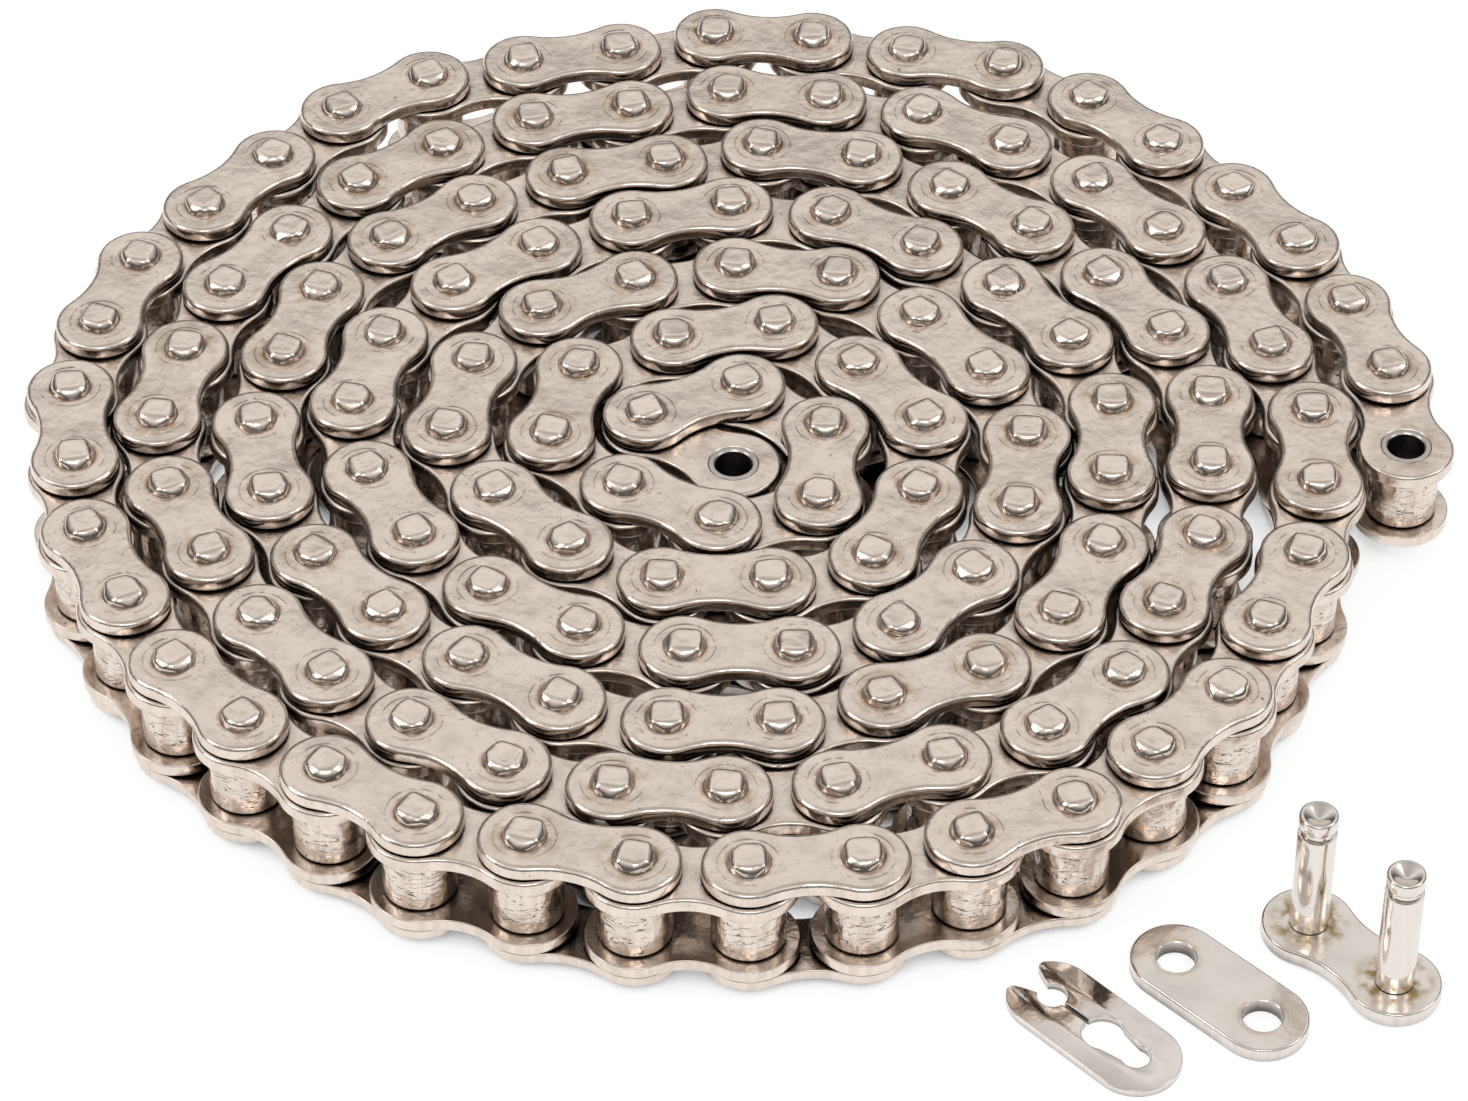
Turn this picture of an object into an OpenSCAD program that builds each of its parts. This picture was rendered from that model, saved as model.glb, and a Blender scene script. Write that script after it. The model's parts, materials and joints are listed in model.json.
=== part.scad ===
// A motorcycle roller chain lying coiled flat on its side, with its spring-clip connecting link
// taken apart beside it. Millimetres, +Z up, standing on z = 0, origin under the middle of the
// whole layout.
//
// The coil is wound by rule: from the hook at its inner end every link folds inwards until one of
// its plates comes up against the turn inside it. The last links, counted from the open outer end,
// are the tail: the part of the chain that can swing away from the coil.

/* [Links] */
// Distance between neighbouring pin centres
pitch = 12.7; // [12.6:0.05:12.8]
// Thickness of every link plate
plate_t = 1.8; // [1.5:0.1:2]
// Distance between the inner plates
inner_width = 7.94; // [7.5:0.02:8.5]
// Distance between the outer plates
outer_width = 12; // [11.9:0.1:12.4]
// Radius of the ends of an inner plate
inner_end_r = 5.8; // [5.5:0.05:5.8]
// Height of an inner plate at its waist
inner_waist = 8.6; // [8:0.1:9]
// Radius of the ends of an outer plate
outer_end_r = 5.35; // [5:0.05:5.5]
// Height of an outer plate at its waist
outer_waist = 8.1; // [7.5:0.1:8.5]

/* [Pins, bushes and rollers] */
// Diameter of the pins
pin_d = 4.45; // [4.4:0.01:4.5]
// Diameter of a riveted pin head
head_d = 5.1; // [4.8:0.05:5.4]
// Height of a riveted pin head
head_h = 1.15; // [0.8:0.05:1.4]
// Outside diameter of the bushes
bush_d = 6; // [5.8:0.05:6.2]
// Outside diameter of the rollers
roller_d = 8.51; // [8.2:0.01:8.6]

/* [Coil] */
// Number of links, inner and outer together
link_count = 143; // [101:2:163]
// Bends of the first joints, from the inner end outwards, in degrees
hook_bends = [120, 63, 57, 67, 48, 16, 59];
// Heading of the innermost link
hook_heading = 145.6; // [0:0.1:360]
// Air between plates on neighbouring turns
turn_gap = 0.38; // [0.3:0.01:0.4]
// Distance kept between the joints of the tail and the middle of the turn inside them
tail_spacing = 12.15; // [12.1:0.01:12.5]

/* [Connecting link] */
// Thickness of the spring clip
clip_t = 1; // [0.8:0.1:1.2]
// Radius of the ends of the spring clip
clip_end_r = 5.2; // [5:0.05:5.4]
// Radius of the ends of the oblong side plate
side_end_r = 5.25; // [5:0.05:5.5]

/* [Hidden] */
$fn = 48;

// How far a link may fold towards the coil's middle, in times the average bend at its radius
fold = 2;
// Radius of the hook, from which the average bend is reckoned
hook_r = 19;
// Mean distance between neighbouring turns
turn_spacing = 11.4;
// Links of the tail that have joints of their own, and links laid with the tail's spacing
tail_links = 16;
spaced_links = tail_links + 1;

// Fits: pieces pressed together, pieces that turn on one another, and a roller's end play
press = 0.02;
bush_run = 0.035;
roller_run = 0.06;
roller_play = 0.1;

// Heights
stack_h = outer_width + 2 * plate_t;
mid_z = stack_h / 2 + head_h;
outer_plate_z = outer_width / 2;
inner_plate_z = inner_width / 2;
bush_h = inner_width + 2 * plate_t;
roller_h = inner_width - 2 * roller_play;

// Connecting link pins: reduced shank staked in the plate, shoulder height over the plate, groove
// and dimpled end
staked_h = 0.4;
shank_r = 2;
shoulder_h = 14.4;
groove_h = 1.1;
groove_r = 1.7;
pin_end_h = 1.7;
dimple_r = 1.75;
dimple_h = 0.8;
side_hole_r = 2.3;

// Spring clip
clip_notch_r = 1.72;
clip_throat = [-1.3, 0.8];
clip_mouth = [-3.1, 1.5];
clip_lip = [-3.9, 2.9];
clip_slit = 0.5;
clip_eye_x = 7.8;
clip_eye_r = 2.45;
clip_neck_w = 2.7;
clip_lobe_r = 1.65;

// Places of the loose pieces, from the joint at the chain's inner end, and their headings
plate_place = [64.9, -63.3];
plate_heading = -45.6;
side_place = [49.7, -68.5];
side_heading = -44.5;
clip_place = [35.6, -73.5];
clip_heading = -46;

// ---------------------------------------------------------------------------------------------
// The coil

// Heading at which a point `reach` beyond `from` just clears the point `mark` by `clear`, taken
// only where it lies within a sixth of a turn of the present heading.
function passing(from, heading, mark, reach, clear) =
    let (
        v = mark - from,
        far = norm(v),
        c = (reach ^ 2 + far ^ 2 - clear ^ 2) / (2 * reach * max(far, 1e-6))
    )
    abs(c) >= 1 ? -1e9 :
    let (
        turned = atan2(v.y, v.x) + acos(c) - heading + 60,
        within = turned - 360 * floor(turned / 360)
    )
    within < 120 ? heading - 60 + within : -1e9;

function ahead(from, heading, reach) = from + reach * [cos(heading), sin(heading)];

function middle(a, b) = (a + b) / 2;

// Link k joins joints k and k + 1, counted from the inner end. Even links are inner links.
function is_inner(k) = k % 2 == 0;

lobe_clear = 2 * inner_end_r + turn_gap;
inner_waist_clear = inner_end_r + inner_waist / 2 + turn_gap;
outer_waist_clear = outer_end_r + outer_waist / 2 + turn_gap;

// The tail keeps a little further off, all but its end link, which folds right in
function in_tail(k) = k >= link_count - spaced_links && k < link_count - 1;
function joint_clear(k) = in_tail(k) ? tail_spacing : lobe_clear;
function waist_clear(k, waisted) =
    in_tail(k) ? tail_spacing :
    is_inner(waisted) ? inner_waist_clear : outer_waist_clear;

// The most that link k may fold inwards from the link before it
function fold_limit(k) =
    fold * 360 * pitch / (2 * PI * sqrt(hook_r ^ 2 + k * pitch * turn_spacing / PI));

// Heading of link k, which starts at the last of the joints laid so far
function next_heading(joints, heading, k) =
    k == 0 ? heading :
    k <= len(hook_bends) ? heading - hook_bends[k - 1] :
    let (from = joints[k])
    max(concat(
        [heading - fold_limit(k)],
        [for (j = [0 : k - 2]) passing(from, heading, joints[j], pitch, joint_clear(k))],
        [for (j = [0 : k - 2]) passing(from, heading, joints[j], pitch / 2, waist_clear(k, k))],
        [for (j = [0 : k - 3])
            passing(from, heading, middle(joints[j], joints[j + 1]), pitch, waist_clear(k, j))]
    ));

function wind(joints, heading) =
    let (k = len(joints) - 1)
    k == link_count ? joints :
    let (onward = next_heading(joints, heading, k))
    wind(concat(joints, [ahead(joints[k], onward, pitch)]), onward);

coil = wind([[0, 0]], hook_heading);

// The layout is moved so that the origin lies under its middle.
plate_far = ahead(plate_place, plate_heading, pitch);
side_far = ahead(side_place, side_heading, pitch);
clip_far = ahead(clip_place, clip_heading, pitch);
coil_x = [for (q = coil) q.x];
coil_y = [for (q = coil) q.y];
reach_low = [
    min(coil_x) - inner_end_r,
    min(min(coil_y) - inner_end_r, clip_far.y - clip_end_r, side_far.y - side_end_r)
];
reach_high = [
    max(max(coil_x) + inner_end_r, plate_far.x + outer_end_r),
    max(coil_y) + inner_end_r
];
centre = middle(reach_low, reach_high);

// Place of joint k and heading of link k; tail links are counted from the open outer end
function joint(k) = coil[k] - centre;
function link_heading(k) =
    let (along = coil[k + 1] - coil[k])
    atan2(along.y, along.x);
function tail_index(i) = link_count - i;

coil_links = link_count - tail_links;
coil_inner_links = [0 : 2 : coil_links - 1];
coil_outer_links = [1 : 2 : coil_links - 1];

// ---------------------------------------------------------------------------------------------
// Pieces

// A plate's outline from x = 0 to x = pitch, waisted between its two round ends. The waist's arc
// is drawn a hair large, so that it crosses the ends instead of just touching them.
module waisted_outline(end_r, waist) {
    half = pitch / 2;
    arc_r = (half ^ 2 + waist ^ 2 / 4 - end_r ^ 2) / (2 * end_r - waist);
    arc_y = waist / 2 + arc_r;
    touch_x = half * arc_r / (arc_r + end_r);
    touch_y = arc_y * end_r / (arc_r + end_r);
    difference() {
        union() {
            circle(end_r);
            translate([pitch, 0])
                circle(end_r);
            translate([half - touch_x, -touch_y])
                square([2 * touch_x, 2 * touch_y]);
        }
        for (side = [-1, 1])
            translate([half, side * arc_y])
                circle(arc_r + 0.03);
    }
}

// A plate with straight sides
module oblong_outline(end_r) {
    circle(end_r);
    translate([pitch, 0])
        circle(end_r);
    translate([0, -end_r])
        square([pitch, 2 * end_r]);
}

module drilled_plate(hole_r, thick) {
    linear_extrude(thick)
        difference() {
            children();
            for (x = [0, pitch])
                translate([x, 0])
                    circle(hole_r);
        }
}

// Moves a piece drawn along +X at mid height to link k of the chain
module on_link(k) {
    translate([joint(k).x, joint(k).y, mid_z])
        rotate(link_heading(k))
            children();
}

// Lower (side = -1) or upper (side = 1) inner plate, held on the ends of the bushes
module inner_plate(side) {
    color([0.74, 0.71, 0.68])
        translate([0, 0, side < 0 ? -inner_plate_z - plate_t : inner_plate_z])
            drilled_plate(bush_d / 2 + press, plate_t)
                waisted_outline(inner_end_r, inner_waist);
}

// Lower (side = -1) or upper (side = 1) outer plate, held on the ends of the pins
module outer_plate(side) {
    color([0.8, 0.77, 0.74])
        translate([0, 0, side < 0 ? -outer_plate_z - plate_t : outer_plate_z])
            drilled_plate(pin_d / 2 + press, plate_t)
                waisted_outline(outer_end_r, outer_waist);
}

// A ridge along Y that slopes in to the staked square on top of a pin head
module staking_ridge() {
    foot = head_d / 2 + 0.1;
    top = 0.6 * head_d / 2;
    rotate([90, 0, 0])
        linear_extrude(2 * head_d, center = true)
            polygon([[-foot, 0], [foot, 0], [top, head_h], [-top, head_h]]);
}

// A pin head, round at its foot and staked square on top
module pin_head() {
    intersection() {
        cylinder(h = head_h - press, d = head_d);
        staking_ridge();
        rotate(90)
            staking_ridge();
    }
}

module pin() {
    half = stack_h / 2 + press;
    color([0.82, 0.79, 0.76]) {
        translate([0, 0, -half])
            cylinder(h = 2 * half, d = pin_d);
        translate([0, 0, half])
            pin_head();
        mirror([0, 0, 1])
            translate([0, 0, half])
                pin_head();
    }
}

module bush() {
    color([0.6, 0.57, 0.54])
        difference() {
            cylinder(h = bush_h, d = bush_d, center = true);
            cylinder(h = bush_h + 1, d = pin_d + 2 * bush_run, center = true);
        }
}

module roller() {
    color([0.7, 0.67, 0.63])
        difference() {
            cylinder(h = roller_h, d = roller_d, center = true);
            cylinder(h = roller_h + 1, d = bush_d + 2 * roller_run, center = true);
        }
}

// Both of a link's pins or bushes
module at_both_ends() {
    children();
    translate([pitch, 0, 0])
        children();
}

module both_sides_inner() {
    inner_plate(-1);
    inner_plate(1);
}

module both_sides_outer() {
    outer_plate(-1);
    outer_plate(1);
}

// ---------------------------------------------------------------------------------------------
// The connecting link's pieces, lying beside the coil

module connecting_plate() {
    color([0.8, 0.77, 0.73])
        translate([plate_place.x - centre.x, plate_place.y - centre.y, staked_h])
            rotate(plate_heading)
                drilled_plate(shank_r + press, plate_t)
                    waisted_outline(outer_end_r, outer_waist);
}

// A pin with a groove for the spring clip and a dimple in its end
module connecting_pin() {
    foot_z = staked_h + plate_t + press;
    shoulder_z = foot_z + shoulder_h;
    end_z = shoulder_z + groove_h + pin_end_h;
    bevel = 0.25;
    difference() {
        union() {
            cylinder(h = foot_z + 1, r = shank_r);
            translate([0, 0, foot_z])
                cylinder(h = shoulder_h, d = pin_d);
            translate([0, 0, foot_z + 1])
                cylinder(h = end_z - bevel - foot_z - 1, r = groove_r);
            translate([0, 0, shoulder_z + groove_h])
                cylinder(h = pin_end_h - bevel, d = pin_d);
            translate([0, 0, end_z - bevel])
                cylinder(h = bevel, d1 = pin_d, d2 = pin_d - 2 * bevel);
        }
        translate([0, 0, end_z - dimple_h])
            cylinder(h = dimple_h + 0.01, r1 = 0.3, r2 = dimple_r);
    }
}

module connecting_pins() {
    color([0.82, 0.79, 0.77])
        translate([plate_place.x - centre.x, plate_place.y - centre.y, 0])
            rotate(plate_heading)
                at_both_ends()
                    connecting_pin();
}

module side_plate() {
    color([0.84, 0.8, 0.78])
        translate([side_place.x - centre.x, side_place.y - centre.y, 0])
            rotate(side_heading)
                drilled_plate(side_hole_r, plate_t)
                    oblong_outline(side_end_r);
}

// The clip's open end, from the throat behind the notch out to the lips of its two prongs
module clip_mouth_outline() {
    out = -2 * clip_end_r;
    polygon([
        [0, -clip_throat.y],
        [clip_throat.x, -clip_throat.y],
        [clip_mouth.x, -clip_mouth.y],
        [clip_lip.x, -clip_lip.y],
        [out, -clip_lip.y],
        [out, clip_lip.y],
        [clip_lip.x, clip_lip.y],
        [clip_mouth.x, clip_mouth.y],
        [clip_throat.x, clip_throat.y],
        [0, clip_throat.y]
    ]);
}

// A keyhole that passes over a pin's end and slides along into its groove
module clip_eye_outline() {
    translate([clip_eye_x, 0])
        circle(clip_eye_r);
    polygon([
        [clip_eye_x, -clip_eye_r + 0.15],
        [pitch, -clip_neck_w / 2],
        [pitch, clip_neck_w / 2],
        [clip_eye_x, clip_eye_r - 0.15]
    ]);
    translate([pitch, 0])
        circle(clip_lobe_r);
}

module spring_clip() {
    color([0.83, 0.8, 0.77])
        translate([clip_place.x - centre.x, clip_place.y - centre.y, 0])
            rotate(clip_heading)
                linear_extrude(clip_t)
                    difference() {
                        oblong_outline(clip_end_r);
                        circle(clip_notch_r);
                        clip_mouth_outline();
                        translate([0, -clip_slit / 2])
                            square([clip_eye_x, clip_slit]);
                        clip_eye_outline();
                    }
}

// ---------------------------------------------------------------------------------------------
// Nodes

function tail_name(i, piece) = str("link", i < 10 ? "0" : "", i, "_", piece);

NODES = concat(
    [
        "coil_outer_plates_upper", "coil_outer_plates_lower",
        "coil_inner_plates_upper", "coil_inner_plates_lower",
        "coil_pins", "coil_bushes", "coil_rollers"
    ],
    [for (i = [1 : 2 : tail_links - 1], piece = ["plates", "bushes", "roller_a", "roller_b"])
        tail_name(i, piece)],
    [for (i = [2 : 2 : tail_links], piece = ["plates", "pins"]) tail_name(i, piece)],
    ["connecting_plate", "connecting_pins", "side_plate", "spring_clip"]
);
node = "all";

function wanted(name) = node == "all" || node == name;

if (wanted("coil_outer_plates_upper"))
    for (k = coil_outer_links) on_link(k) outer_plate(1);
if (wanted("coil_outer_plates_lower"))
    for (k = coil_outer_links) on_link(k) outer_plate(-1);
if (wanted("coil_inner_plates_upper"))
    for (k = coil_inner_links) on_link(k) inner_plate(1);
if (wanted("coil_inner_plates_lower"))
    for (k = coil_inner_links) on_link(k) inner_plate(-1);
if (wanted("coil_pins"))
    for (k = coil_outer_links) on_link(k) at_both_ends() pin();
if (wanted("coil_bushes"))
    for (k = coil_inner_links) on_link(k) at_both_ends() bush();
if (wanted("coil_rollers"))
    for (k = coil_inner_links) on_link(k) at_both_ends() roller();

// Inner links of the tail: the outer end's roller is roller_b
for (i = [1 : 2 : tail_links - 1]) {
    if (wanted(tail_name(i, "plates")))
        on_link(tail_index(i)) both_sides_inner();
    if (wanted(tail_name(i, "bushes")))
        on_link(tail_index(i)) at_both_ends() bush();
    if (wanted(tail_name(i, "roller_a")))
        on_link(tail_index(i)) roller();
    if (wanted(tail_name(i, "roller_b")))
        on_link(tail_index(i)) translate([pitch, 0, 0]) roller();
}

// Outer links of the tail
for (i = [2 : 2 : tail_links]) {
    if (wanted(tail_name(i, "plates")))
        on_link(tail_index(i)) both_sides_outer();
    if (wanted(tail_name(i, "pins")))
        on_link(tail_index(i)) at_both_ends() pin();
}

if (wanted("connecting_plate")) connecting_plate();
if (wanted("connecting_pins")) connecting_pins();
if (wanted("side_plate")) side_plate();
if (wanted("spring_clip")) spring_clip();
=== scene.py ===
"""Looks of a nickel-plated motorcycle roller chain that lies coiled on its side, with its connecting
link taken apart beside it. Every CAD node is replaced by one detailed piece, built from templates
that are drawn in millimetres and set at the places of the node's own solids."""

import json
import math

import bpy
import numpy as np
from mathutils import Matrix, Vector
from mathutils.geometry import tessellate_polygon


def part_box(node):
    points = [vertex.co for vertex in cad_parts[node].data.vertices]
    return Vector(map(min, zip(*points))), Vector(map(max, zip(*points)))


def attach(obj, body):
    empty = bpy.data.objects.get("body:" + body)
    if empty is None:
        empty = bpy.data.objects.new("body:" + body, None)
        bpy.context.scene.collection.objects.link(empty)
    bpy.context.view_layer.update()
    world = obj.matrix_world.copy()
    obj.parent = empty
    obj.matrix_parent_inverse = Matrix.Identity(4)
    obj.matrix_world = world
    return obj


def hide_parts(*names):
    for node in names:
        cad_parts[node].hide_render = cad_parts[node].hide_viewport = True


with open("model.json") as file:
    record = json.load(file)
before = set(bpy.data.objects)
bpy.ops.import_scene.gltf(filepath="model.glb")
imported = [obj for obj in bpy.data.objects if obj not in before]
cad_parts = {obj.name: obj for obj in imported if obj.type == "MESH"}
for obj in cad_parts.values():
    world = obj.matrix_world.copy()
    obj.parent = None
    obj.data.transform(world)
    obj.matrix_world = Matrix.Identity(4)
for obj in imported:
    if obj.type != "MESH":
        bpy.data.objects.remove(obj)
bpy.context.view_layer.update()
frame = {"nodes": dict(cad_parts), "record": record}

MM = 0.001
rng = np.random.default_rng(428)
record = frame["record"]
node_slot = {part["node"]: part["material_slot"] for part in record["subparts"]}
node_body = {node: body for body, nodes in record["behaviour"]["bodies"].items() for node in nodes}
mounts = {mount["name"]: mount for mount in record["mounts"]}


def box_mm(node):
    low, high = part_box(node)
    return np.array(low) / MM, np.array(high) / MM


def mount_xy(name):
    return np.array(mounts[name]["pos_m"][:2]) / MM


# Sizes in millimetres. Heights, gaps and the pitch come from the frame.
PITCH = float(np.linalg.norm(mount_xy("connecting_pin_near") - mount_xy("connecting_pin_far")))
STACK_LOW, STACK_HIGH = (edge[2] for edge in box_mm("coil_pins"))
MID_Z = (STACK_LOW + STACK_HIGH) / 2
PLATE_T = box_mm("side_plate")[1][2]
OUTER_TOP = box_mm("coil_outer_plates_upper")[1][2] - MID_Z
INNER_TOP = box_mm("coil_inner_plates_upper")[1][2] - MID_Z
HEAD_H = STACK_HIGH - MID_Z - OUTER_TOP
ROLLER_HALF = box_mm("coil_rollers")[1][2] - MID_Z

OUTER_END_R, OUTER_WAIST = 5.35, 8.1
INNER_END_R, INNER_WAIST = 5.8, 8.6
SIDE_END_R, SIDE_HOLE_R, CLIP_END_R = 5.25, 2.3, 5.2
PIN_R, HEAD_R = 2.225, 2.55
BUSH_R, BUSH_BORE_R = 3.0, 2.26
ROLLER_R, ROLLER_BORE_R = 4.255, 3.06
SHANK_R, GROOVE_R = 2.0, 1.7
GAP = 0.02


# ----------------------------------------------------------------------------------------------
# Places, read from the CAD nodes


def solids(node):
    """The points, in mm, of each separate solid of a CAD node."""
    mesh = frame["nodes"][node].data
    points = np.empty(len(mesh.vertices) * 3)
    mesh.vertices.foreach_get("co", points)
    points = points.reshape(-1, 3) / MM
    edges = np.empty(len(mesh.edges) * 2, int)
    mesh.edges.foreach_get("vertices", edges)
    spot = np.unique(points.round(3), axis=0, return_inverse=True)[1].ravel()
    ends = spot[edges].reshape(-1, 2)
    group = np.arange(spot.max() + 1)
    while True:
        lowest = group[ends].min(1)
        before = group.copy()
        np.minimum.at(group, ends[:, 0], lowest)
        np.minimum.at(group, ends[:, 1], lowest)
        group = group[group]
        if (group == before).all():
            break
    member = group[spot]
    return [points[member == g] for g in np.unique(member)]


def middle(points):
    return (points.min(0) + points.max(0)) / 2


def middles(nodes):
    return np.array([middle(points) for node in nodes for points in solids(node)])


def nodes_in_slot(slot):
    return [node for node, used in node_slot.items() if used == slot]


def plate_places(node, joints):
    """(first joint, heading, middle height) of each plate of a node. Its own two joints are the
    nearest ones to its middle."""
    places = []
    for centre in middles([node]):
        near = np.argsort(np.hypot(*(joints - centre[:2]).T))[:2]
        first, last = joints[sorted(near)]
        along = last - first
        places.append((first, math.atan2(along[1], along[0]), centre[2]))
    return places


pin_joints = middles(nodes_in_slot("pin"))[:, :2]
bush_joints = middles(nodes_in_slot("bush"))[:, :2]


def headings(joints, plate_nodes):
    """Heading of the link that each of these joints belongs to."""
    found = np.zeros(len(joints))
    for node in plate_nodes:
        for first, heading, _ in plate_places(node, joints):
            last = first + PITCH * np.array([math.cos(heading), math.sin(heading)])
            for end in (first, last):
                found[np.argmin(np.hypot(*(joints - end).T))] = heading
    return found


pin_headings = headings(pin_joints, nodes_in_slot("outer_plate"))


# ----------------------------------------------------------------------------------------------
# Meshes


class Shape:
    """Points and faces of a template, in mm."""

    def __init__(self):
        self.points = []
        self.faces = []

    def add(self, points):
        start = len(self.points)
        self.points.extend(tuple(p) for p in points)
        return list(range(start, len(self.points)))

    def join(self, lower, upper):
        """Quads between two closed loops of as many points."""
        for i in range(len(lower)):
            j = (i + 1) % len(lower)
            self.faces.append((lower[i], lower[j], upper[j], upper[i]))

    def stack(self, loops):
        """Joins closed loops of points one on another, and returns the first and last loop."""
        rings = [self.add(loop) for loop in loops]
        for lower, upper in zip(rings, rings[1:]):
            self.join(lower, upper)
        return rings[0], rings[-1]

    def fan(self, loop, tip, upward):
        tip = self.add([tip])[0]
        for i in range(len(loop)):
            a, b = loop[i], loop[(i + 1) % len(loop)]
            self.faces.append((a, b, tip) if upward else (b, a, tip))

    def welded(self):
        """Points and faces with points at the same place made one."""
        points = np.array(self.points)
        kept, spot = np.unique(points.round(5), axis=0, return_index=True, return_inverse=True)[1:]
        spot = spot.ravel()
        faces = []
        for face in self.faces:
            corners = [int(spot[c]) for c in face]
            corners = [c for i, c in enumerate(corners) if c != corners[i - 1]]
            if len(corners) > 2:
                faces.append(tuple(corners))
        return points[kept], faces


def at_height(loop, z):
    return np.column_stack([loop, np.full(len(loop), z)])


def arc(centre, r, start, end, steps):
    """Points on an arc, its angles in degrees."""
    angles = np.radians(np.linspace(start, end, steps + 1))
    return np.column_stack([centre[0] + r * np.cos(angles), centre[1] + r * np.sin(angles)])


END_STEPS, WAIST_STEPS, SEAM_STEPS = 26, 6, 6


def half_outline(end_r, waist, inset):
    """The outline of a plate's far half, from the middle of its lower edge round to the upper
    one, moved inwards by inset."""
    half = PITCH / 2
    if waist >= 2 * end_r:
        lower = np.column_stack([
            np.linspace(half, PITCH, WAIST_STEPS + 1),
            np.full(WAIST_STEPS + 1, inset - end_r),
        ])
        meet = 90
    else:
        arc_r = (half**2 + waist**2 / 4 - end_r**2) / (2 * end_r - waist)
        arc_y = waist / 2 + arc_r
        touch = math.degrees(math.atan2(arc_y, half))
        lower = arc((half, -arc_y), arc_r + inset, 90, touch, WAIST_STEPS)
        meet = 180 - touch
    end = arc((PITCH, 0), end_r - inset, -meet, meet, END_STEPS)
    upper = lower[::-1] * (1, -1)
    return np.vstack([lower[:-1], end, upper[1:]])


def turned_half(loop):
    return np.array([PITCH, 0]) - loop


def plate(end_r, waist, hole_r, top_edge, bottom_edge, sink):
    """A link plate from z = 0 to PLATE_T with rounded edges and two countersunk holes."""
    shape = Shape()
    steps = np.linspace(0, math.pi / 2, 5)
    profile = [(bottom_edge + 0.04, 0)]
    profile += [(bottom_edge * (1 - math.sin(a)), bottom_edge * (1 - math.cos(a))) for a in steps]
    profile += [(top_edge * (1 - math.cos(a)), PLATE_T - top_edge * (1 - math.sin(a))) for a in steps]
    profile += [(top_edge + 0.04, PLATE_T)]
    rim = []
    for inset, z in profile:
        half = half_outline(end_r, waist, inset)
        rim.append(at_height(np.vstack([half[:-1], turned_half(half)[:-1]]), z))
    shape.stack(rim)
    for turn in (False, True):
        rings = []
        for (inset, z), upward in ((profile[-1], True), (profile[0], False)):
            half = half_outline(end_r, waist, inset)
            seam = np.linspace(half[-1], half[0], SEAM_STEPS + 1)[1:-1]
            edge = np.vstack([half, seam])
            away = edge - (PITCH, 0)
            unit = away / np.hypot(*away.T)[:, None]
            loops = [edge, (PITCH, 0) + unit * (hole_r + sink)]
            if turn:
                loops = [turned_half(loop) for loop in loops]
            outer, inner = (shape.add(at_height(loop, z)) for loop in loops)
            shape.join(outer, inner) if upward else shape.join(inner, outer)
            rings.append(loops[1])
            bore = unit * hole_r + (PITCH, 0)
        if turn:
            bore = turned_half(bore)
        walls = [
            at_height(rings[0], PLATE_T),
            at_height(bore, PLATE_T - sink),
            at_height(bore, sink),
            at_height(rings[1], 0),
        ]
        shape.stack(walls)
    return shape.welded()


def lathe(profile, steps=40):
    """A closed body turned from (radius, height) points. Where the first and last radius are 0
    it is solid; otherwise its profile closes on itself, round a bore."""
    shape = Shape()
    solid = profile[0][0] == 0
    walls = profile[1:-1] if solid else profile + profile[:1]
    turn = np.linspace(0, 2 * math.pi, steps, endpoint=False)
    circle = np.column_stack([np.cos(turn), np.sin(turn)])
    first, last = shape.stack([at_height(circle * r, z) for r, z in walls])
    if solid:
        shape.fan(first, (0, 0, profile[0][1]), upward=False)
        shape.fan(last, (0, 0, profile[-1][1]), upward=True)
    return shape.welded()


def rounded_tube(bore_r, r, half, edge, bore_edge):
    """A tube from -half to half with rounded outer edges and chamfered bore edges."""
    steps = np.radians([0, 30, 60, 90])
    upper = [(r - edge * (1 - math.cos(a)), half - edge * (1 - math.sin(a))) for a in steps]
    upper += [(bore_r + bore_edge, half), (bore_r, half - bore_edge)]
    return lathe([(radius, -z) for radius, z in reversed(upper)] + upper)


HEAD_STEPS = 36
HEAD_FLARE = 0.5
HEAD_DRAW_IN = 0.22
CORNER_SHARPNESS = 9.0
HEAD_MIDDLE = 0.96


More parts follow.
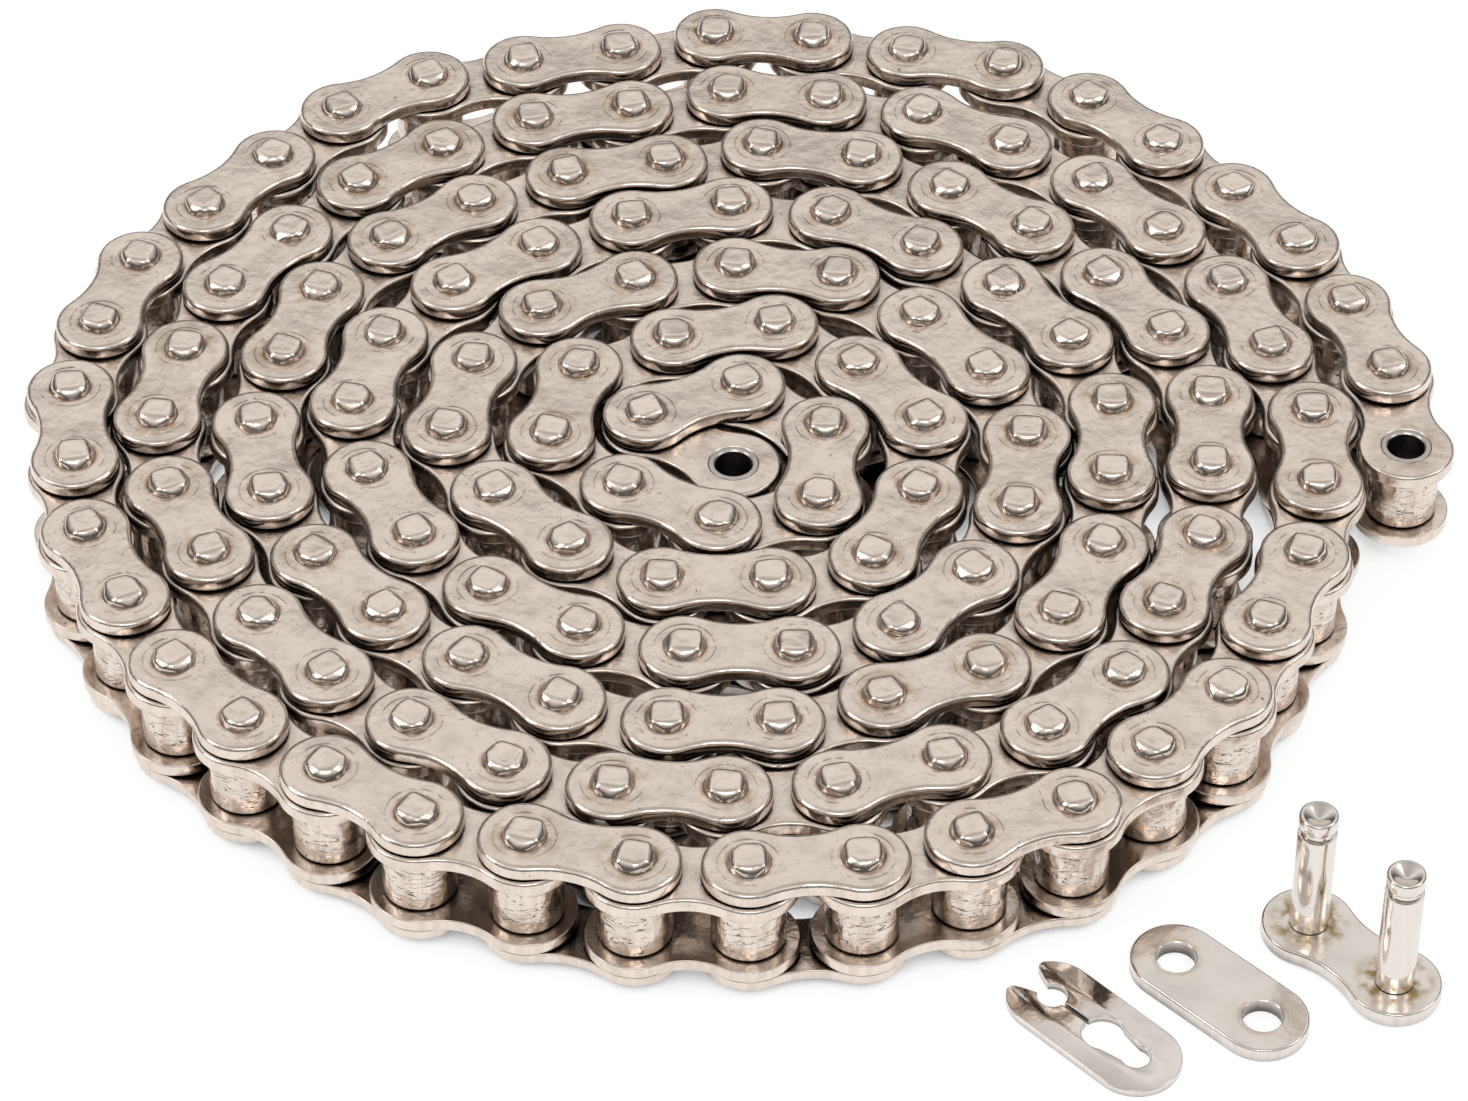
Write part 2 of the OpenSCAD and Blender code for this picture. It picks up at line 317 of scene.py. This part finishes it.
def staked_head(draw):
    """Loops of a pin head above the plate: round at its foot, with four or five facets sloping in
    to a flat top. Every head is struck a little differently."""
    turn = np.linspace(0, 2 * math.pi, HEAD_STEPS, endpoint=False)
    facets = [
        (math.radians(90 * i + draw.uniform(-9, 9)), draw.uniform(1.5, 1.9)) for i in range(4)
    ]
    if draw.random() < 0.6:
        facets.append((math.radians(45 + 90 * draw.integers(4)), draw.uniform(1.7, 1.95)))
    spread = np.array([at for at, _ in facets])
    top_r = np.array([r for _, r in facets])
    cosine = np.maximum(np.cos(turn[:, None] - spread), 0.05)

    def loop(share, shrink=0.0):
        """The outline's radii at a share of the head's height. The facets start well up the
        head, as they are wider than it at its foot, and blend softly into its round."""
        width = (HEAD_R + HEAD_FLARE) * (1 - share) + top_r * share
        flat = ((width - shrink) / cosine).min(1)
        dome = HEAD_R - shrink - HEAD_DRAW_IN * share**2
        blend = flat**-CORNER_SHARPNESS + dome**-CORNER_SHARPNESS
        return blend ** (-1 / CORNER_SHARPNESS)

    # Radius and height of the shank and the foot, then share of the height and inset of the rest
    rings = [(PIN_R, -0.3), (HEAD_R - 0.12, -0.14), (HEAD_R, 0.02)]
    levels = [(0.16, 0), (0.42, 0), (0.7, 0), (0.88, 0.03), (0.96, 0.11), (1, 0.28),
              (0.995, 0.68), (0.975, 1.15)]
    rough = 1 + draw.normal(0, 0.006, (len(levels), HEAD_STEPS))
    loops = [np.column_stack([r * np.cos(turn), r * np.sin(turn), np.full(HEAD_STEPS, z)])
             for r, z in rings]
    for i, (share, shrink) in enumerate(levels):
        r = loop(share, shrink) * rough[i]
        z = np.full(HEAD_STEPS, HEAD_H * share)
        if share > 0.98:
            z = z - np.abs(draw.normal(0, 0.012, HEAD_STEPS))
        loops.append(np.column_stack([r * np.cos(turn), r * np.sin(turn), z]))
    return loops


def staked_pin(draw):
    """A pin with a head over the upper outer plate and one under the lower, centred on z = 0."""
    shape = Shape()
    over, under = staked_head(draw), staked_head(draw)
    flipped = [loop * (1, 1, -1) - (0, 0, OUTER_TOP) for loop in reversed(under)]
    raised = [loop + (0, 0, OUTER_TOP) for loop in over]
    first, last = shape.stack(flipped + raised)
    shape.fan(first, (0, 0, -OUTER_TOP - HEAD_H * HEAD_MIDDLE), upward=False)
    shape.fan(last, (0, 0, OUTER_TOP + HEAD_H * HEAD_MIDDLE), upward=True)
    return np.array(shape.points), shape.faces


def connecting_pin():
    """A loose pin: a shank through the plate, a shoulder on it, a groove for the clip, and a
    dished end."""
    shoulder = box_mm("connecting_plate")[1][2] + GAP
    top = box_mm("connecting_pins")[1][2]
    groove_low, groove_high = top - 2.8, top - 1.7
    profile = [(0, 0), (SHANK_R - 0.3, 0), (SHANK_R - 0.08, 0.08), (SHANK_R, 0.3),
               (SHANK_R, shoulder), (PIN_R - 0.1, shoulder), (PIN_R, shoulder + 0.1),
               (PIN_R, groove_low - 0.14), (PIN_R - 0.04, groove_low - 0.04),
               (PIN_R - 0.14, groove_low), (GROOVE_R + 0.14, groove_low + 0.02),
               (GROOVE_R, groove_low + 0.2), (GROOVE_R, groove_high - 0.2),
               (GROOVE_R + 0.14, groove_high - 0.02), (PIN_R - 0.16, groove_high),
               (PIN_R - 0.05, groove_high + 0.05), (PIN_R, groove_high + 0.18),
               (PIN_R, top - 0.34), (PIN_R - 0.06, top - 0.16), (PIN_R - 0.2, top - 0.04),
               (PIN_R - 0.34, top), (PIN_R - 0.46, top - 0.04), (1.45, top - 0.22),
               (0.9, top - 0.52), (0.4, top - 0.76), (0.22, top - 0.82), (0, top - 0.84)]
    return lathe(profile, steps=64)


def line_meets_circle(start, end, centre, r, far):
    """Where the line from start to end meets a circle: its nearer or farther meeting point."""
    start, along = np.array(start), np.array(end) - np.array(start)
    away = start - np.array(centre)
    a, b, c = along @ along, 2 * away @ along, away @ away - r * r
    root = math.sqrt(b * b - 4 * a * c)
    return start + along * (-b + (root if far else -root)) / (2 * a)


def bearing(centre, point):
    return math.degrees(math.atan2(point[1] - centre[1], point[0] - centre[0]))


def clip_outline():
    """The spring clip's outline, anticlockwise from its lower prong, with rounded prong tips."""
    notch, eye, lobe = (0, 0), (7.8, 0), (PITCH, 0)
    notch_r, eye_r, lobe_r = 1.72, 2.45, 1.65
    mouth, throat = (-3.1, 1.5), (-1.3, 0.8)
    slit = 0.25
    tip_at, tip_r = 142, 0.9
    tip_x, tip_y = arc(notch, CLIP_END_R - tip_r, tip_at, tip_at, 0)[0]
    into_notch = line_meets_circle(mouth, throat, notch, notch_r, far=False)
    from_notch = (math.sqrt(notch_r**2 - slit**2), slit)
    into_eye = (eye[0] - math.sqrt(eye_r**2 - slit**2), slit)
    neck = ((eye[0], eye_r - 0.15), (lobe[0], 1.35))
    from_eye = line_meets_circle(*neck, eye, eye_r, far=True)
    into_lobe = line_meets_circle(*neck, lobe, lobe_r, far=False)
    inner = np.vstack([
        arc((tip_x, tip_y), tip_r, tip_at, 250, 9)[1:], [mouth],
        arc(notch, notch_r, bearing(notch, into_notch), bearing(notch, from_notch), 16),
        arc(eye, eye_r, bearing(eye, into_eye), bearing(eye, from_eye), 14),
        arc(lobe, lobe_r, bearing(lobe, into_lobe), 0, 12),
    ])
    outer = np.vstack([
        arc(lobe, CLIP_END_R, 0, 90, 20),
        arc(notch, CLIP_END_R, 90, tip_at, 12),
    ])
    upper = np.vstack([outer, inner])
    lower = (upper * (1, -1))[::-1]
    return np.vstack([lower[:-1], upper[:-1]])


def inward(loop, inset):
    """A closed anticlockwise loop moved inwards along its corners' bisectors."""
    back = loop - np.roll(loop, 1, 0)
    on = np.roll(loop, -1, 0) - loop
    normals = [np.column_stack([-e[:, 1], e[:, 0]]) / np.hypot(*e.T)[:, None] for e in (back, on)]
    bisector = normals[0] + normals[1]
    reach = np.maximum((bisector * normals[0]).sum(1), 0.6)
    return loop + inset * bisector / reach[:, None]


def spring_clip():
    thick = box_mm("spring_clip")[1][2]
    edge = 0.14
    outline = clip_outline()
    shape = Shape()
    steps = np.radians([0, 30, 60, 90])
    profile = [(edge * (1 - math.sin(a)), edge * (1 - math.cos(a))) for a in steps]
    profile += [(edge * (1 - math.cos(a)), thick - edge * (1 - math.sin(a))) for a in steps]
    loops = [at_height(inward(outline, inset), z) for inset, z in profile]
    first, last = shape.stack(loops)
    flat = [[Vector(p) for p in at_height(loops[-1][:, :2], 0)]]
    for a, b, c in tessellate_polygon(flat):
        rising = np.cross(loops[-1][b][:2] - loops[-1][a][:2], loops[-1][c][:2] - loops[-1][a][:2])
        if rising < 0:
            b, c = c, b
        shape.faces.append((last[a], last[b], last[c]))
        shape.faces.append((first[a], first[c], first[b]))
    return shape.welded()


SHARP_ANGLE = math.radians(38)


def build(node, copies, tone=None):
    """One piece for a CAD node from copies of templates: (template, place in mm, heading in
    radians, flipped over). Each copy keeps its own coordinates for its material, and a tone,
    from 0, clean, to 1, stained, drawn at random where none is given."""
    points, faces, local, grain, tones = [], [], [], [], []
    count = 0
    for (shape_points, shape_faces), place, heading, flipped in copies:
        c, s = math.cos(heading), math.sin(heading)
        drawn = shape_points * (1, -1, -1) if flipped else shape_points
        turned = drawn @ np.array([[c, s, 0], [-s, c, 0], [0, 0, 1]]) + np.array(place)
        points.append(turned)
        faces.extend(tuple(i + count for i in face) for face in shape_faces)
        count += len(turned)
        local.append(shape_points)
        grain.append(shape_points + rng.uniform(-400, 400, 3))
        random_tone = rng.random()
        tones.append(np.full(len(turned), random_tone if tone is None else tone))
    mesh = bpy.data.meshes.new(node + "_metal")
    mesh.from_pydata((np.vstack(points) * MM).tolist(), [], faces)
    for name, kind, rows in (("local", "FLOAT_VECTOR", local), ("grain", "FLOAT_VECTOR", grain)):
        values = np.vstack(rows).astype(np.float32).ravel()
        mesh.attributes.new(name, kind, "POINT").data.foreach_set("vector", values)
    values = np.concatenate(tones).astype(np.float32)
    mesh.attributes.new("tone", "FLOAT", "POINT").data.foreach_set("value", values)
    mesh.shade_smooth()
    mesh.set_sharp_from_angle(angle=SHARP_ANGLE)
    mesh.validate()
    piece = bpy.data.objects.new(node + "_metal", mesh)
    bpy.context.scene.collection.objects.link(piece)
    piece.data.materials.append(materials[node_slot[node]])
    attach(piece, node_body[node])
    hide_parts(node)
    return piece


# ----------------------------------------------------------------------------------------------
# Materials


class Finish:
    """A metal material and short ways to wire its nodes."""

    def __init__(self, name):
        self.material = bpy.data.materials.new(name)
        self.material.use_nodes = True
        self.tree = self.material.node_tree
        self.shader = self.tree.nodes["Principled BSDF"]
        self.shader.inputs["Metallic"].default_value = 1.0
        self.local = self.attribute("local", "Vector")
        self.grain = self.attribute("grain", "Vector")
        self.tone = self.attribute("tone", "Fac")

    def node(self, kind, **settings):
        made = self.tree.nodes.new(kind)
        for key, value in settings.items():
            setattr(made, key, value)
        return made

    def put(self, socket, value):
        if isinstance(value, bpy.types.NodeSocket):
            self.tree.links.new(value, socket)
        else:
            socket.default_value = value

    def attribute(self, name, output):
        return self.node("ShaderNodeAttribute", attribute_name=name).outputs[output]

    def math(self, operation, a, b=0.0, clamp=False):
        made = self.node("ShaderNodeMath", operation=operation, use_clamp=clamp)
        self.put(made.inputs[0], a)
        self.put(made.inputs[1], b)
        return made.outputs[0]

    def vector(self, operation, a, b=(0, 0, 0)):
        made = self.node("ShaderNodeVectorMath", operation=operation)
        self.put(made.inputs[0], a)
        self.put(made.inputs[1], b)
        return made.outputs["Value" if operation in ("LENGTH", "DISTANCE") else "Vector"]

    def ramp(self, value, low, high, to_low=0.0, to_high=1.0):
        """value from low to high becomes to_low to to_high, smoothly."""
        made = self.node("ShaderNodeMapRange", interpolation_type="SMOOTHSTEP")
        for socket, number in zip(made.inputs, (value, low, high, to_low, to_high)):
            self.put(socket, number)
        return made.outputs[0]

    def noise(self, vector, scale, detail=2.0, roughness=0.5, distortion=0.0):
        made = self.node("ShaderNodeTexNoise")
        self.put(made.inputs["Vector"], vector)
        made.inputs["Scale"].default_value = scale
        made.inputs["Detail"].default_value = detail
        made.inputs["Roughness"].default_value = roughness
        made.inputs["Distortion"].default_value = distortion
        return made.outputs["Fac"]

    def hairlines(self, vector, scale, width, cover):
        """Short curved scratches: thin level lines of a noise, broken up by another."""
        field = self.noise(vector, scale, 1.0, 0.5, 0.6)
        away = self.math("ABSOLUTE", self.math("SUBTRACT", field, 0.5))
        line = self.ramp(away, 0.0, width, 1.0, 0.0)
        patches = self.noise(vector, scale * 1.7, 2.0)
        return self.math("MULTIPLY", line, self.ramp(patches, 1 - cover, 1 - cover + 0.08))

    def mix(self, share, a, b):
        made = self.node("ShaderNodeMix", data_type="RGBA")
        self.put(made.inputs["Factor"], share)
        self.put(made.inputs["A"], a)
        self.put(made.inputs["B"], b)
        return made.outputs["Result"]

    def bump(self, height, depth_mm, normal=None):
        made = self.node("ShaderNodeBump")
        made.inputs["Distance"].default_value = depth_mm * MM
        self.put(made.inputs["Height"], height)
        if normal is not None:
            self.put(made.inputs["Normal"], normal)
        return made.outputs["Normal"]

    def openness(self, reach_mm):
        """1 in the open, down to 0 where other metal or the floor closes in within reach."""
        made = self.node("ShaderNodeAmbientOcclusion", samples=8)
        made.inputs["Distance"].default_value = reach_mm * MM
        return made.outputs["AO"]

    def upright(self):
        """1 on walls, 0 on level faces."""
        split = self.node("ShaderNodeSeparateXYZ")
        self.put(split.inputs[0], self.node("ShaderNodeNewGeometry").outputs["Normal"])
        return self.ramp(self.math("ABSOLUTE", split.outputs["Z"]), 0.35, 0.75, 1.0, 0.0)

    def near_joints(self, axis_r):
        """Distance, in mm, from the nearer of a link's two joints."""
        flat = self.vector("MULTIPLY", self.local, (1, 1, 0))
        first = self.vector("LENGTH", flat)
        last = self.vector("DISTANCE", flat, (PITCH, 0, 0))
        return self.math("SUBTRACT", self.math("MINIMUM", first, last), axis_r)


NICKEL = (0.82, 0.72, 0.648, 1)
BRIGHT = (0.80, 0.745, 0.70, 1)
STEEL = (0.55, 0.51, 0.49, 1)
DULL = (0.56, 0.475, 0.405, 1)
# Tint of the painted reflections down the walls
REFLECTION_GOLD = (0.57, 0.49, 0.40, 1)
OIL = (0.46, 0.35, 0.18, 1)
RUST = (0.30, 0.13, 0.06, 1)
GRIME = (0.07, 0.055, 0.045, 1)
# Colour of the painted shade in crevices
SHADE = (0.03, 0.024, 0.02, 1)


CREVICE_REACH = 5.0
STRUCK_RING_R = 3.55


def scratch_lines(f, scratches, wrinkles):
    """Fine curved scratches and, on rollers, wrinkles that run round them."""
    long_lines = f.hairlines(f.grain, 0.42, 0.005, 0.12 + 0.32 * scratches)
    short_lines = f.hairlines(f.grain, 1.1, 0.011, 0.08 + 0.36 * scratches)
    lines = f.math("MAXIMUM", long_lines, short_lines)
    if wrinkles:
        round_about = f.vector("MULTIPLY", f.grain, (0.35, 0.35, 1.5))
        lines = f.math("MAXIMUM", lines, f.hairlines(round_about, 0.9, 0.02, 0.6))
    return lines


def worn_colour(f, base, clouds, lines, mottle, reflection_streaks, scratches):
    """The metal's own colour, dull clouds and dirty scratches, with gold-tinted bands down its walls
    as painted reflection.
    """
    colour = f.mix(f.ramp(clouds, 0.4, 0.75, 0.0, mottle), base, DULL)
    # Painted reflection: gold-tinted bands on upright faces only, standing in for streaky reflections
    # in the walls.
    bands = f.noise(f.vector("MULTIPLY", f.grain, (1, 1, 0.08)), 0.9, 2.0, 0.5)
    painted_wall_reflection = f.math("MULTIPLY", f.upright(), f.ramp(bands, 0.42, 0.66, 0.0, reflection_streaks))
    colour = f.mix(painted_wall_reflection, colour, REFLECTION_GOLD)
    return f.mix(f.math("MULTIPLY", lines, 0.35 + 0.5 * scratches), colour, GRIME)


def soiled(f, colour, oil, rust):
    """The colour with oil and rust added round the pins, and how thick the oil is."""
    away = f.near_joints(HEAD_R)
    blots = f.noise(f.grain, 0.5, 4.0, 0.5)
    reach = f.ramp(away, 0.1, 2.6, 1.0, 0.0)
    amount = f.math("MULTIPLY", reach, f.ramp(blots, 0.36, 0.72))
    heavy = f.ramp(f.tone, 0.4, 1.0, 0.08 * oil, oil)
    film = f.math("MULTIPLY", amount, heavy, clamp=True)
    colour = f.mix(film, colour, OIL)
    foot = f.math("MULTIPLY", f.ramp(away, 0.05, 0.55, 1.0, 0.0), f.ramp(blots, 0.4, 0.6))
    return f.mix(f.math("MULTIPLY", foot, rust, clamp=True), colour, RUST), film


def relief(f, clouds, fine, lines, waves, scratches, rings):
    """Gentle slopes, swells, grain, scratches and, on outer plates, rings round the pins."""
    slope = f.noise(f.grain, 0.13, 0.0)
    swell = f.noise(f.vector("MULTIPLY", f.grain, (1, 1, 0.6)), 0.55, 2.0, 0.5)
    normal = f.bump(slope, 0.5)
    normal = f.bump(swell, 0.02 + 0.26 * waves, normal)
    normal = f.bump(fine, 0.001 + 0.01 * scratches, normal)
    normal = f.bump(f.math("SUBTRACT", 1.0, lines), 0.02 + 0.04 * scratches, normal)
    if rings:
        away = f.math("ABSOLUTE", f.math("SUBTRACT", f.near_joints(0), STRUCK_RING_R))
        mark = f.math("MULTIPLY", f.ramp(away, 0.0, 0.16, 1.0, 0.0), f.ramp(clouds, 0.42, 0.6))
        normal = f.bump(f.math("SUBTRACT", 1.0, mark), 0.05, normal)
    return normal


def nickel(name, roughness, scratches, waves, oil=0, rust=0, mottle=0.4, reflection_streaks=0.3,
           wrinkles=False, rings=False, base=NICKEL):
    """Worn nickel plate, with painted shade darkening it in crevices. Scratches, waves, oil, rust,
    mottle and reflection_streaks, the painted wall reflections, are from 0, none, to about 1, heavy."""
    f = Finish(name)
    clouds = f.noise(f.grain, 0.35, 3.0, 0.6)
    fine = f.noise(f.vector("MULTIPLY", f.grain, (1, 1, 0.25)), 7.0, 3.0, 0.65)
    lines = scratch_lines(f, scratches, wrinkles)
    colour = worn_colour(f, base, clouds, lines, mottle, reflection_streaks, scratches)
    film = 0.0
    if oil or rust:
        colour, film = soiled(f, colour, oil, rust)
    # Painted shade: the colour is darkened towards SHADE where other metal or the floor closes in
    # within CREVICE_REACH.
    painted_crevice_shade = f.ramp(f.openness(CREVICE_REACH), 0.15, 0.66, 0.97, 0.0)
    f.put(f.shader.inputs["Base Color"], f.mix(painted_crevice_shade, colour, SHADE))
    rough = f.math("ADD", f.ramp(clouds, 0.3, 0.75, roughness, roughness + 0.2 * mottle),
                   f.math("MULTIPLY", fine, 0.02 + 0.06 * scratches))
    rough = f.math("ADD", rough, f.math("MULTIPLY", film, 0.25), clamp=True)
    f.put(f.shader.inputs["Roughness"], rough)
    f.put(f.shader.inputs["Normal"], relief(f, clouds, fine, lines, waves, scratches, rings))
    return f.material


materials = {
    "outer_plate": nickel(
        "nickel_outer_plate", roughness=0.13, scratches=0.8, waves=0.4, oil=0.6, rust=0.6,
        rings=True,
    ),
    "inner_plate": nickel(
        "nickel_inner_plate", roughness=0.16, scratches=0.8, waves=0.4, oil=0.7, rust=0.2,
    ),
    "pin": nickel("nickel_pin", roughness=0.10, scratches=0.4, waves=0.3, mottle=0.25),
    "bush": nickel("steel_bush", roughness=0.22, scratches=0.3, waves=0.1, base=STEEL),
    "roller": nickel(
        "nickel_roller", roughness=0.13, scratches=0.9, waves=0.9, reflection_streaks=0.5, wrinkles=True,
    ),
    "loose_plate": nickel(
        "nickel_loose_plate", roughness=0.14, scratches=0.3, waves=0.1, oil=1.5, rust=0.3,
        mottle=0.15, base=BRIGHT,
    ),
    "loose_pin": nickel(
        "nickel_loose_pin", roughness=0.11, scratches=0.05, waves=0.05, mottle=0.05, reflection_streaks=0.1,
        base=BRIGHT,
    ),
    "spring_clip": nickel(
        "nickel_spring_clip", roughness=0.1, scratches=0.1, waves=0.1, mottle=0.1, reflection_streaks=0.2,
        base=BRIGHT,
    ),
}


# ----------------------------------------------------------------------------------------------
# Pieces

outer_plate = plate(
    OUTER_END_R, OUTER_WAIST, PIN_R + GAP, top_edge=0.68, bottom_edge=0.2, sink=0.34
)
inner_plate = plate(
    INNER_END_R, INNER_WAIST, BUSH_R + GAP, top_edge=0.5, bottom_edge=0.18, sink=0.1
)
bush = rounded_tube(BUSH_BORE_R, BUSH_R, INNER_TOP, edge=0.12, bore_edge=0.16)
roller = rounded_tube(ROLLER_BORE_R, ROLLER_R, ROLLER_HALF, edge=0.3, bore_edge=0.15)


def plate_copies(node, template, joints):
    """Plates lie with their rounder edge outwards, so those below the middle are flipped."""
    copies = []
    for first, heading, z in plate_places(node, joints):
        flipped = z < MID_Z
        face = z + PLATE_T / 2 if flipped else z - PLATE_T / 2
        copies.append((template, (*first, face), heading, flipped))
    return copies


for node in nodes_in_slot("outer_plate"):
    build(node, plate_copies(node, outer_plate, pin_joints))
for node in nodes_in_slot("inner_plate"):
    build(node, plate_copies(node, inner_plate, bush_joints))
for node in nodes_in_slot("pin"):
    copies = []
    for x, y, _ in middles([node]):
        heading = pin_headings[np.argmin(np.hypot(*(pin_joints - (x, y)).T))]
        copies.append((staked_pin(rng), (x, y, MID_Z), heading, False))
    build(node, copies)
for slot, template in (("bush", bush), ("roller", roller)):
    for node in nodes_in_slot(slot):
        build(node, [
            (template, (x, y, MID_Z), rng.uniform(0, 2 * math.pi), False)
            for x, y, _ in middles([node])
        ])


def loose_heading(near, far):
    along = far - near
    return math.atan2(along[1], along[0])


pins_near, pins_far = mount_xy("connecting_pin_near"), mount_xy("connecting_pin_far")
side_near, side_far = mount_xy("side_plate_hole_near"), mount_xy("side_plate_hole_far")
pins_heading = loose_heading(pins_near, pins_far)
side_heading = loose_heading(side_near, side_far)
connecting_plate = plate(
    OUTER_END_R, OUTER_WAIST, SHANK_R + GAP, top_edge=0.3, bottom_edge=0.14, sink=0.12
)
side_plate = plate(
    SIDE_END_R, 2 * SIDE_END_R, SIDE_HOLE_R, top_edge=0.3, bottom_edge=0.12, sink=0.08
)
build("connecting_plate", [
    (connecting_plate, (*pins_near, box_mm("connecting_plate")[0][2]), pins_heading, False)
], tone=1.0)
build("connecting_pins", [
    (connecting_pin(), (*place, 0), pins_heading, False) for place in (pins_near, pins_far)
])
build("side_plate", [(side_plate, (*side_near, 0), side_heading, False)], tone=0.0)

# The clip lies beside the side plate. Its outline is the same on both sides of its long axis, so
# its box gives its heading: the box is its length turned by that angle, and its end radius.
clip_low, clip_high = box_mm("spring_clip")
clip_reach = (clip_high - clip_low)[:2]
clip_heading = -math.asin((clip_reach[1] - 2 * CLIP_END_R) / PITCH)
clip_far = np.array([clip_high[0] - CLIP_END_R, clip_low[1] + CLIP_END_R])
clip_near = clip_far - PITCH * np.array([math.cos(clip_heading), math.sin(clip_heading)])
build("spring_clip", [(spring_clip(), (*clip_near, 0), clip_heading, False)])


# ----------------------------------------------------------------------------------------------
# Floor, light and camera

AIM = Vector((-0.00022, -0.01805, 0.0173))
CAMERA_BACK = 0.6462
CAMERA_ELEVATION = math.radians(42.86)
LENS = 135.5


def toward(azimuth, elevation):
    """Unit vector from the object to a point at that azimuth, 0 being the camera's side."""
    a, e = math.radians(azimuth), math.radians(elevation)
    return Vector((math.sin(a) * math.cos(e), -math.cos(a) * math.cos(e), math.sin(e)))


def softbox(name, azimuth, elevation, distance, width, height, radiance):
    """A plain rectangular soft light that faces the object."""
    lamp = bpy.data.lights.new(name, "AREA")
    lamp.shape = "RECTANGLE"
    lamp.size, lamp.size_y = width, height
    lamp.energy = radiance * math.pi * width * height
    holder = bpy.data.objects.new(name, lamp)
    direction = toward(azimuth, elevation)
    holder.location = AIM + direction * distance
    holder.rotation_mode = "QUATERNION"
    holder.rotation_quaternion = direction.to_track_quat("Z", "Y")
    bpy.context.scene.collection.objects.link(holder)


FLOOR_GLOW = 0.86
FLOOR_PAINTED_SHADOW_REACH = 0.008


def floor():
    """A pale floor with a glow of its own, so that its only shadows are close to the metal: faint
    real ones, and painted shadow where the glow is dimmed.
    """
    half = 3.0
    mesh = bpy.data.meshes.new("floor")
    corners = [(-half, -half, 0), (half, -half, 0), (half, half, 0), (-half, half, 0)]
    mesh.from_pydata(corners, [], [(0, 1, 2, 3)])
    made = bpy.data.objects.new("floor", mesh)
    bpy.context.scene.collection.objects.link(made)
    paint = bpy.data.materials.new("floor_paint")
    paint.use_nodes = True
    shader = paint.node_tree.nodes["Principled BSDF"]
    shader.inputs["Base Color"].default_value = (0.25, 0.25, 0.25, 1)
    shader.inputs["Roughness"].default_value = 1.0
    shader.inputs["Specular IOR Level"].default_value = 0.0
    shader.inputs["Emission Color"].default_value = (1, 1, 1, 1)
    openness = paint.node_tree.nodes.new("ShaderNodeAmbientOcclusion")
    openness.samples = 8
    openness.inputs["Distance"].default_value = FLOOR_PAINTED_SHADOW_REACH
    # Painted shadow: the floor's glow fades out where metal closes in within a few millimetres.
    glow = paint.node_tree.nodes.new("ShaderNodeMapRange")
    for socket, number in zip(glow.inputs[1:], (0.03, 0.28, 0.0, FLOOR_GLOW)):
        socket.default_value = number
    paint.node_tree.links.new(openness.outputs["AO"], glow.inputs["Value"])
    paint.node_tree.links.new(glow.outputs["Result"], shader.inputs["Emission Strength"])
    mesh.materials.append(paint)


def studio():
    """A soft room of light, brightest at about 45 degrees up and dark towards the horizon."""
    world = bpy.data.worlds.new("studio")
    world.use_nodes = True
    tree = world.node_tree
    background = tree.nodes["Background"]
    place = tree.nodes.new("ShaderNodeTexCoord")
    split = tree.nodes.new("ShaderNodeSeparateXYZ")
    shade = tree.nodes.new("ShaderNodeValToRGB")
    tree.links.new(place.outputs["Generated"], split.inputs[0])
    tree.links.new(split.outputs["Z"], shade.inputs["Fac"])
    tree.links.new(shade.outputs["Color"], background.inputs["Color"])
    stops = [(0.0, 0.05), (0.25, 0.14), (0.5, 0.55), (0.72, 0.95), (1.0, 0.5)]
    for i, (at, light) in enumerate(stops):
        stop = shade.color_ramp.elements[i] if i < 2 else shade.color_ramp.elements.new(at)
        stop.position = at
        stop.color = (light, light * 0.985, light * 0.965, 1)
    bpy.context.scene.world = world


floor()
studio()
softbox("key", 0, 46, 1.1, 0.5, 0.3, 2.1)
softbox("left", -75, 30, 1.0, 0.35, 0.7, 1.6)
softbox("right", 80, 35, 1.0, 0.3, 0.7, 1.3)

camera = bpy.data.objects.new("camera", bpy.data.cameras.new("camera"))
camera.data.lens = LENS
camera.data.sensor_width = 36
camera.data.clip_start = 0.01
back = toward(0, math.degrees(CAMERA_ELEVATION))
camera.location = AIM + back * CAMERA_BACK
camera.rotation_euler = (math.pi / 2 - CAMERA_ELEVATION, 0, 0)
bpy.context.scene.collection.objects.link(camera)
bpy.context.scene.camera = camera
bpy.context.scene.view_settings.view_transform = "Standard"
